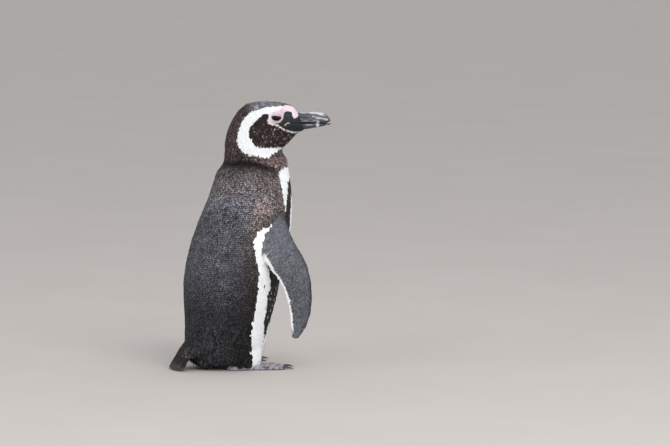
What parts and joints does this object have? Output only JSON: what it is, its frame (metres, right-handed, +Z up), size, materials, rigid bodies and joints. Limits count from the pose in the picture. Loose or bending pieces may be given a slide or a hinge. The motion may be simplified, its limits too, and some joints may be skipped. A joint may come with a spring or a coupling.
{
  "type": "magellanic penguin model",
  "caption": "Life-size still model of a standing Magellanic penguin, head turned to its right, flippers held out a little and down, tail resting on the floor.",
  "frame": {"origin": "floor level under the middle of the bird's bounding box, between its feet and a little behind their toes", "axes": "+Z up; the body faces -Y, its right side is towards -X; the bill points 25 degrees to the bird's right of -Y"},
  "size_m": [0.2444, 0.2682, 0.4444],
  "materials": {
    "dark_plumage": "dark slate feathers, matte",
    "brown_plumage": "brown-black feathers, matte",
    "flipper_plumage": "short slate feathers, matte",
    "white_plumage": "white feathers, matte",
    "bill_horn": "dark horn with paler streaks, satin",
    "eye": "wet, glossy",
    "foot_skin": "scaled skin, matte, mottled",
    "claw_horn": "dark horn, satin"
  },
  "bodies": {
    "root": {"head": "brown_plumage", "neck": "brown_plumage", "trunk": "dark_plumage", "tail": "dark_plumage", "flipper_right": "flipper_plumage", "flipper_left": "flipper_plumage", "leg_right": "white_plumage", "leg_left": "white_plumage", "foot_right": "foot_skin", "foot_left": "foot_skin", "claw_inner_right": "claw_horn", "claw_middle_right": "claw_horn", "claw_outer_right": "claw_horn", "claw_hallux_right": "claw_horn", "claw_inner_left": "claw_horn", "claw_middle_left": "claw_horn", "claw_outer_left": "claw_horn", "claw_hallux_left": "claw_horn", "eye_right": "eye", "eye_left": "eye", "bill_upper": "bill_horn", "bill_lower": "bill_horn"}
  },
  "joints": []
}
